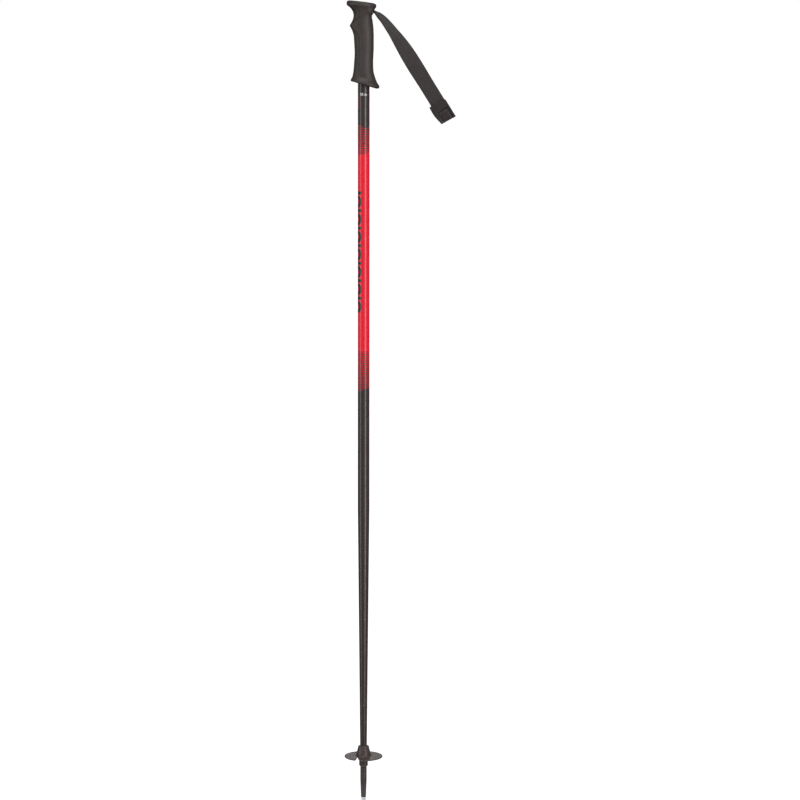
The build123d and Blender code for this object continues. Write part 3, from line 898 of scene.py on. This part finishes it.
def make_strap(material):
    """One strip of webbing, doubled: up from the slider, round the pin in the head, and back down."""
    section = webbing_section()
    path = strap_path()
    rings, lengths, run = [], [], 0.0
    for k, (centre, across, outward) in enumerate(path):
        if k:
            run += (centre - path[k - 1][0]).length
        lengths.append(run)
        rings.append([tuple(centre + across * u + outward * v) for u, v in section])
    strap = build("strap", *skin(rings), sharp=60)
    layer = strap.data.uv_layers.new(name="weave")
    count = len(section)
    for loop in strap.data.loops:
        row, k = divmod(loop.vertex_index, count)
        layer.data[loop.index].uv = (section[k][0], lengths[row])
    give(strap, material)
    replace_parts(strap, "strap_webbing", "strap_root_loop")
    bend_to, _ = strap_point(BEND_LENGTH)
    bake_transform(strap)


# ---------------------------------------------------------------------- slider


def slider_place():
    """The slider's own frame: origin at the middle of its far end, X across, Y back up the strap."""
    origin, dip = strap_point(STRAP_LENGTH + SLIDER_PAST_STRAP)
    across = Vector((sin(dip), 0, cos(dip)))
    back = Vector((-cos(dip), 0, sin(dip)))
    front = Vector((0, -1, 0))
    turn = Matrix((across, back, front)).transposed().to_4x4()
    return Matrix.Translation(origin * MM) @ turn


def slider_outline():
    """Straight on one side and bowed on the other, and wider at the end that the strap comes from."""
    outline = rounded(
        [
            (SLIDER_FAR_X, 0, SLIDER_FAR_CORNER),
            (SLIDER_STRAIGHT_X, -SLIDER_FAR_SLANT, 0.8),
            (SLIDER_STRAIGHT_X, SLIDER_LENGTH - SLIDER_NEAR_SLANT, 1.2),
            (SLIDER_NEAR_X, SLIDER_LENGTH, SLIDER_NEAR_CORNER),
        ],
        steps=6,
    )
    for k in range(1, SLIDER_BOW_STEPS):
        t = k / SLIDER_BOW_STEPS
        x = SLIDER_NEAR_X + (SLIDER_FAR_X - SLIDER_NEAR_X) * t - SLIDER_BOW * sin(pi * t)
        y = (SLIDER_LENGTH - SLIDER_NEAR_CORNER) * (1 - t) + SLIDER_FAR_CORNER * t
        outline.append((x, y))
    return outline


def make_slider(plastic, place):
    """The sleeve on the strap: rounded plate, channel for the webbing, and window for the lever."""
    slider = prism("slider", slider_outline(), SLIDER_BACK, SLIDER_FRONT)
    soften(slider, SLIDER_EDGE, segments=5, angle=50)
    channel_outline = rounded_box(WEBBING_WIDTH + 2 * CHANNEL_SIDE_GAP, 2 * CHANNEL_HALF_T, 1.2)
    channel = prism("channel", channel_outline, -5, 40, Matrix.Rotation(-pi / 2, 4, "X"))
    side = LEVER_WIDTH / 2 + LEVER_GAP
    window = block("window", (-side, -6, CHANNEL_HALF_T - 1), (side, WINDOW_LENGTH, 9), 0.8)
    hole = rod("hole", PIN_HOLE_R, -11.5, 20, lever_turn())
    combine(slider, [channel, window, hole], "DIFFERENCE")
    soften(slider, SLIDER_CUT_EDGE, segments=2, angle=38)
    slider.data.transform(place)
    give(slider, plastic)
    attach(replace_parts(slider, "slider_frame"), "slider")


def lever_turn():
    """Turns a rod on to the lever pin's axis, in the slider's own frame."""
    return shift(0, LEVER_PIN_Y, LEVER_PIN_Z) @ Matrix.Rotation(pi / 2, 4, "Y")


GROOVE_START, GROOVE_PITCH, GROOVE_WIDTH, GROOVE_HALF = 1.9, 1.5, 0.6, 4.6


def make_lever(plastic, place):
    """The clamping lever: a rounded panel on a barrel, with grooves for the thumb at its free end."""
    half = LEVER_WIDTH / 2
    panel = block("lever", (-half, 0.15, LEVER_UNDERSIDE), (half, LEVER_PIN_Y, LEVER_TOP), 0.55)
    pad_outline = rounded_box(PAD_WIDTH, PAD_LENGTH, PAD_CORNER)
    pad = prism("pad", pad_outline, LEVER_TOP - 0.4, LEVER_TOP + PAD_RISE)
    soften(pad, 0.3, segments=3, angle=50)
    pad.data.transform(shift(0, PAD_MIDDLE_Y, 0))
    barrel = rod("barrel", LEVER_BARREL_R, -half, half, lever_turn())
    combine(panel, [pad, barrel], "UNION")
    grooves = []
    for k in range(3):
        y = GROOVE_START + GROOVE_PITCH * k
        low = (-GROOVE_HALF, y, LEVER_TOP + 0.05)
        high = (GROOVE_HALF, y + GROOVE_WIDTH, LEVER_TOP + 2)
        grooves.append(block(f"groove{k}", low, high, 0.2))
    bore = rod("bore", PIN_BORE_R, -half - 1, half + 1, lever_turn())
    combine(panel, [*grooves, bore], "DIFFERENCE")
    panel.data.transform(place)
    give(panel, plastic)
    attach(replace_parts(panel, "slider_lever"), "lever")


# ------------------------------------------------------- ferrule, basket and tip


def make_ferrule(plastic):
    """The ferrule: a sleeve over the shaft's end, a shoulder, and a shank that tapers to the tip."""
    outline = rounded(
        [
            (0, TIP_STEM_TOP_Z, 0),
            (TIP_STEM_R, TIP_STEM_TOP_Z, 0),
            (TIP_STEM_R, TIP_LENGTH, 0),
            (SHANK_END_R, TIP_LENGTH, 0.35),
            (SHANK_R, SHANK_TAPER_TOP_Z, 14.0),
            (SHANK_R, SHANK_NECK_Z, 0),
            (SHANK_NECK_R, SHANK_NECK_Z, 0),
            (SHANK_NECK_R, FERRULE_SHOULDER_Z, 0),
            (FERRULE_R, FERRULE_SHOULDER_Z, 0.4),
            (FERRULE_R, FERRULE_TOP_Z, 0.5),
            (FERRULE_MOUTH_R, FERRULE_TOP_Z, 0.1),
            (FERRULE_BORE_R, SHAFT_END_Z, 0),
            (0, SHAFT_END_Z, 0),
        ]
    )
    ferrule = lathe("ferrule_sleeve", outline, 96)
    give(ferrule, plastic)
    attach(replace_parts(ferrule, "ferrule"), "pole")


def basket_outline():
    """The basket's section, from the collar's foot out round the disc and up the hub."""
    return rounded(
        [
            (5.06, 54.6, 0.15),
            (5.9, 54.7, 0.5),
            (6.85, 57.0, 0.9),
            (6.85, 65.8, 0.8),
            (8.6, 68.4, 1.8),
            (11.0, 69.3, 1.0),
            (27.0, 69.5, 0.6),
            (27.8, 69.3, 0.6),
            (29.4, 69.6, 0.6),
            (29.9, 70.1, 0.4),
            (29.9, 71.0, 0.4),
            (29.4, 71.4, 0.3),
            (28.6, 71.4, 0.3),
            (28.0, 70.9, 0.5),
            (14.0, 71.0, 6.0),
            (11.2, 72.4, 2.2),
            (10.8, 77.0, 1.8),
            (8.7, 84.4, 0.9),
            (8.7, 84.9, 0.3),
            (8.3, 87.0, 0.6),
            (7.6, 87.5, 0.4),
            (6.05, 87.5, 0.3),
            (6.0, 59.9, 0.1),
            (5.06, 59.9, 0.1),
        ]
    )


SLIT_OUTLINE = [
    (-10.5, -5.0, 0.9),
    (-10.5, -14.0, 6.0),
    (-14.2, -31.0, 0),
    (-4.6, -31.0, 0),
    (-8.3, -14.0, 6.0),
    (-8.3, -5.0, 0.9),
]
HOLE_PITCH_R, HOLE_R = 21.7, 1.2
RIB_COUNT = 8
RIB_LOW, RIB_HIGH = (9.0, -0.5, 68.7), (27.8, 0.5, 69.8)
DIMPLE_R, DIMPLE_Z = 1.2, 61.0
RECESS_Z, RECESS_WIDTH, RECESS_HEIGHT = 79.0, 5.4, 3.4


def make_basket(plastic):
    """The snow basket: dished disc with a slit and two holes, low ribs, hub and collar."""
    basket = lathe("snow_basket", basket_outline(), 160)
    ribs = []
    for k in range(RIB_COUNT):
        turn = Matrix.Rotation((2 * k + 1) * pi / RIB_COUNT, 4, "Z")
        ribs.append(block(f"rib{k}", RIB_LOW, RIB_HIGH, 0.2, turn))
    combine(basket, ribs, "UNION")
    cutters = [prism("slit", rounded(SLIT_OUTLINE, 8), 60.0, 75.0)]
    for side in (-1, 1):
        cutters.append(rod("eye", HOLE_R, 60, 80, shift(side * HOLE_PITCH_R, 0, 0)))
    to_front = Matrix.Rotation(pi / 2, 4, "X")
    recess_outline = rounded_box(RECESS_WIDTH, RECESS_HEIGHT, 1.2)
    for angle in (0, pi):
        turn = Matrix.Rotation(angle, 4, "Z")
        cutters.append(rod("dimple", DIMPLE_R, 5.4, 9, turn @ (shift(0, 0, DIMPLE_Z) @ to_front)))
        recess_place = turn @ (shift(0, 0, RECESS_Z) @ to_front)
        cutters.append(prism("recess", recess_outline, 9.5, 13, recess_place))
    combine(basket, cutters, "DIFFERENCE")
    soften(basket, 0.25, segments=2, angle=45)
    give(basket, plastic)
    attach(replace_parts(basket, "basket"), "basket")


NOTCH_COUNT = 10
NOTCH_LOW, NOTCH_HIGH = (2.2, -0.45, -1.0), (5.0, 0.45, 0.9)


def make_tip(steel):
    """The steel tip: a cupped end with a serrated rim, and the shank pressed into the ferrule."""
    outline = rounded(
        [
            (0, 1.5, 0),
            (2.6, 0.15, 0.2),
            (3.0, 0.0, 0.1),
            (3.45, 0.25, 0.2),
            (TIP_R, TIP_LENGTH, 0),
            (TIP_STEM_R, TIP_LENGTH, 0),
            (TIP_STEM_R, TIP_STEM_TOP_Z, 0.3),
            (0, TIP_STEM_TOP_Z, 0),
        ]
    )
    tip = lathe("tip", outline, 96)
    notches = []
    for k in range(NOTCH_COUNT):
        turn = Matrix.Rotation(2 * pi * k / NOTCH_COUNT, 4, "Z")
        notches.append(block(f"notch{k}", NOTCH_LOW, NOTCH_HIGH, 0.2, turn))
    combine(tip, notches, "DIFFERENCE")
    give(tip, steel)
    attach(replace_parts(tip, "steel_tip"), "pole")


# ----------------------------------------------------------------------- stage


# From here on in metres
FLOOR_REACH, FLOOR_MIDDLE_REACH = 60.0, 0.06
FLOOR_DROP = 0.0005
AIM_HEIGHT = 0.65
CAMERA_AT = (0.0565, -4.1, 1.115)
CAMERA_DIP, CAMERA_LEAN = 6.659, 0.11  # degrees
CAMERA_LENS, CAMERA_SENSOR = 119.6, 36.0  # millimetres


def pale_square(name, reach, drop, material):
    """A glowing white square, level, a little way below the tip."""
    corners = [(-reach, -reach, 0), (reach, -reach, 0), (reach, reach, 0), (-reach, reach, 0)]
    mesh = bpy.data.meshes.new(name)
    mesh.from_pydata(corners, [], [(0, 1, 2, 3)])
    square = bpy.data.objects.new(name, mesh)
    square.location.z = -drop
    bpy.context.scene.collection.objects.link(square)
    give(square, material)
    return square


def make_stage():
    """A white floor without a shadow. Only the square at the tip shows in the pole's gloss."""
    look = Look("pale_floor", roughness=0.9, specular_ior_level=0.0, emission_strength=1.0)
    look.feed(look.shader.inputs["Base Color"], (0.1, 0.1, 0.1, 1))
    look.feed(look.shader.inputs["Emission Color"], (1, 1, 1, 1))
    pale_square("floor_middle", FLOOR_MIDDLE_REACH, FLOOR_DROP, look.material)
    floor = pale_square("floor", FLOOR_REACH, 2 * FLOOR_DROP, look.material)
    floor.visible_glossy = False


def soft_light(name, azimuth, distance, height, width, tall, power):
    """A soft box at an azimuth round the pole (0 is towards -Y), aimed at the middle of the pole."""
    ridge_highlight = bpy.data.lights.new(name, "AREA")
    ridge_highlight.shape = "RECTANGLE"
    ridge_highlight.size, ridge_highlight.size_y, ridge_highlight.energy = width, tall, power
    obj = bpy.data.objects.new(name, ridge_highlight)
    angle = radians(azimuth)
    obj.location = (distance * sin(angle), -distance * cos(angle), height)
    aim = Vector((0, 0, AIM_HEIGHT)) - obj.location
    obj.rotation_euler = aim.to_track_quat("-Z", "Y").to_euler()
    obj.visible_camera = False
    bpy.context.scene.collection.objects.link(obj)


def make_lights():
    """Four soft boxes and a white world that doesn't show in the pole's gloss."""
    soft_light("left_softbox", azimuth=-66, distance=3.0, height=0.8, width=1.0, tall=3.2, power=36)
    soft_light("right_softbox", azimuth=38, distance=3.0, height=0.8, width=0.9, tall=3.2, power=70)
    soft_light("overhead", azimuth=0, distance=1.1, height=3.2, width=2.0, tall=2.0, power=52)
    soft_light("back_softbox", azimuth=180, distance=3.0, height=1.5, width=2.2, tall=1.0, power=14)
    world = bpy.data.worlds.new("studio")
    world.use_nodes = True
    world.node_tree.nodes["Background"].inputs["Color"].default_value = (1, 1, 1, 1)
    world.node_tree.nodes["Background"].inputs["Strength"].default_value = 1.0
    bpy.context.scene.world = world
    world.cycles_visibility.glossy = False
    bpy.context.scene.view_settings.view_transform = "Standard"


def make_camera():
    """Level with the upper shaft and looking slightly down, so that the whole pole fills the frame."""
    data = bpy.data.cameras.new("camera")
    data.lens, data.sensor_width = CAMERA_LENS, CAMERA_SENSOR
    camera = bpy.data.objects.new("camera", data)
    place = Matrix.Translation(CAMERA_AT)
    tip_down = Matrix.Rotation(radians(90 - CAMERA_DIP), 4, "X")
    lean = Matrix.Rotation(radians(CAMERA_LEAN), 4, "Z")
    camera.matrix_world = place @ tip_down @ lean
    bpy.context.scene.collection.objects.link(camera)
    bpy.context.scene.camera = camera


make_camera()
make_lights()
make_stage()

plastic = moulded_plastic("grip_plastic", colour(46, 40, 38), roughness=0.52)
cap_plastic = moulded_plastic("cap_plastic", colour(52, 45, 43), grain=1.6, roughness=0.42)
slider_plastic = moulded_plastic(
    "slider_plastic", colour(36, 31, 30), grain=1.8, roughness=0.46, wear=0.08
)
ferrule_plastic = moulded_plastic("ferrule_plastic", colour(52, 45, 44), grain=1.4, roughness=0.38)
basket_plastic = moulded_plastic("basket_plastic", colour(60, 51, 48), grain=1.4, roughness=0.42)
steel = turned_steel("tip_steel", colour(196, 197, 206))
pin_steel = turned_steel("pin_steel", colour(170, 170, 174), 0.25)

make_shaft(shaft_paint())
make_size_mark(printed_ink("white_ink", colour(225, 225, 228)))
cap_place, cap_rx, cap_ry = make_grip(plastic)
make_cap(cap_plastic, cap_place, cap_rx, cap_ry)
make_strap(webbing_material())
slider_at = slider_place()
make_slider(slider_plastic, slider_at)
make_lever(slider_plastic, slider_at)
make_ferrule(ferrule_plastic)
make_basket(basket_plastic)
make_tip(steel)
for pin in ("strap_anchor_pin", "lever_pin"):
    frame["nodes"][pin].data.materials[0] = pin_steel
